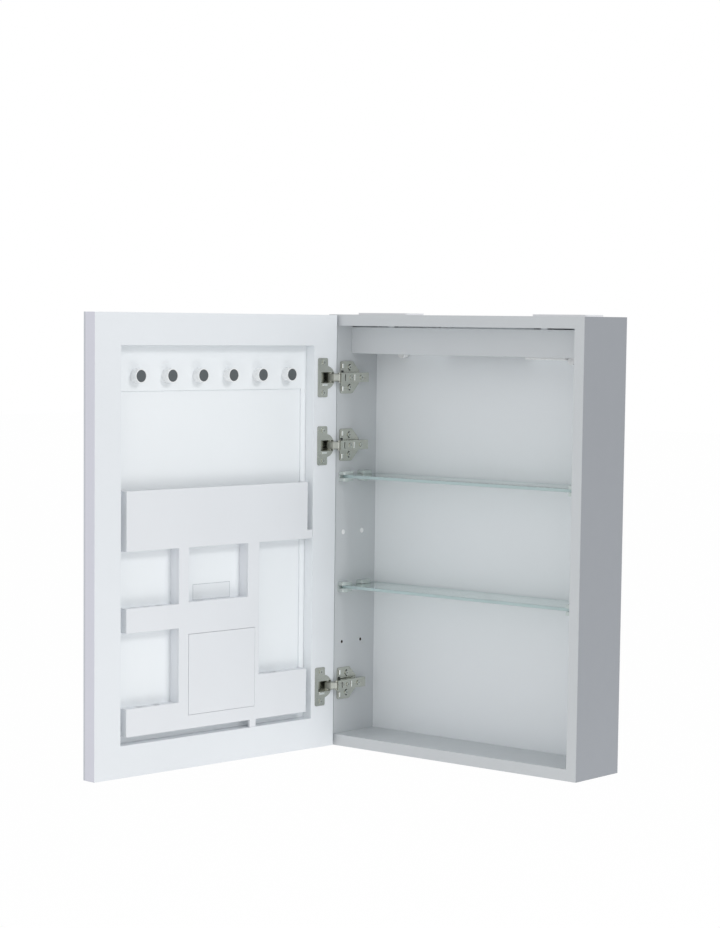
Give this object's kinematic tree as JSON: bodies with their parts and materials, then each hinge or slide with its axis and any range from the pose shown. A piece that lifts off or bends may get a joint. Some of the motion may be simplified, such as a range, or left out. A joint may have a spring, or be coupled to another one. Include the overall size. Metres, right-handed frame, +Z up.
{
  "type": "mirrored medicine cabinet",
  "caption": "Wall-hung medicine cabinet with a hinged mirror door that carries pegs and an organizer, and glass shelves inside a shallow open carcass.",
  "frame": {"origin": "centre of the back face, on the wall plane", "axes": "+X to the right as seen from the room, +Y into the wall, +Z up"},
  "size_m": [0.5467, 0.6124, 0.703],
  "materials": {
    "carcass_board": "silver grey lacquered board",
    "back_board": "light grey lacquered board, slightly glossy",
    "door_board": "white lacquered board",
    "mirror": "silvered flat mirror",
    "shelf_glass": "clear glass with a faint green edge",
    "door_lining": "white lining sheet",
    "organizer_plastic": "white moulded plastic",
    "peg_plastic": "white glossy plastic",
    "magnet": "dark grey rubber-faced magnet",
    "dowel_wood": "plain beech",
    "shelf_clip": "bright plated metal",
    "white_plastic": "white moulded plastic",
    "white_plate": "white painted steel",
    "driver_case": "dark grey moulded case",
    "label_plate": "bare silver plate with no marking",
    "fastener_steel": "nickel plated steel",
    "hinge_steel": "nickel plated pressed steel"
  },
  "bodies": {
    "cabinet": {"arm_pins": "fastener_steel", "arm_screws": "fastener_steel", "back_panel": "back_board", "bottom_panel": "carcass_board", "clamp_screws": "shelf_clip", "corner_dowels": "dowel_wood", "height_wheels": "white_plastic", "left_side_panel": "carcass_board", "left_wall_hanger": "white_plastic", "lower_glass_shelf": "shelf_glass", "lower_hinge_arm": "hinge_steel", "lower_hinge_plate": "hinge_steel", "lower_shelf_clips": "shelf_clip", "middle_hinge_arm": "hinge_steel", "middle_hinge_plate": "hinge_steel", "pin_hole_plugs": "white_plastic", "plate_screws": "fastener_steel", "right_side_panel": "carcass_board", "right_wall_hanger": "white_plastic", "top_panel": "carcass_board", "top_plate_screws": "white_plate", "top_plates": "white_plate", "upper_glass_shelf": "shelf_glass", "upper_hinge_arm": "hinge_steel", "upper_hinge_plate": "hinge_steel", "upper_shelf_clips": "shelf_clip", "valance": "carcass_board", "valance_brackets": "white_plastic"},
    "outer_links": {"lower_outer_link": "hinge_steel", "middle_outer_link": "hinge_steel", "upper_outer_link": "hinge_steel"},
    "inner_links": {"inner_link_pins": "fastener_steel", "lower_inner_link": "hinge_steel", "middle_inner_link": "hinge_steel", "upper_inner_link": "hinge_steel"},
    "door": {"backing_sheet": "door_lining", "blank_label": "label_plate", "compartment_cover": "organizer_plastic", "cup_pins": "fastener_steel", "cup_screws": "fastener_steel", "door_frame": "door_board", "driver_unit": "driver_case", "inner_panel": "door_lining", "left_divider": "organizer_plastic", "left_pocket_shelf": "organizer_plastic", "lower_hinge_cup": "hinge_steel", "lower_left_shelf": "organizer_plastic", "magnetic_pegs": "peg_plastic", "middle_hinge_cup": "hinge_steel", "middle_pocket_shelf": "organizer_plastic", "mirror_glass": "mirror", "organizer_front": "organizer_plastic", "peg_magnets": "magnet", "pocket_floors": "organizer_plastic", "right_divider": "organizer_plastic", "right_pocket_shelf": "organizer_plastic", "tray_ends": "organizer_plastic", "upper_hinge_cup": "hinge_steel", "upper_tray_floor": "organizer_plastic"}
  },
  "joints": [
    {"name": "door_swing", "type": "hinge", "parent": "outer_links", "child": "door", "pos_m": [-0.23001, -0.12893, 0], "axis": [0, 0, 1], "range_deg": [-15.2, 144.4]},
    {"name": "outer_link_swing", "type": "hinge", "parent": "cabinet", "child": "outer_links", "pos_m": [-0.219, -0.1144, 0], "axis": [0, 0, 1], "range_deg": [-49.5, 5.3]},
    {"name": "inner_link_swing", "type": "hinge", "parent": "cabinet", "child": "inner_links", "pos_m": [-0.2194, -0.1204, 0], "axis": [0, 0, 1], "range_deg": [-40.95, 4.4]}
  ],
  "couplings": [
    {"joint": "outer_link_swing", "follows": "door_swing", "ratio": -0.34211},
    {"joint": "inner_link_swing", "follows": "door_swing", "ratio": -0.28289}
  ]
}
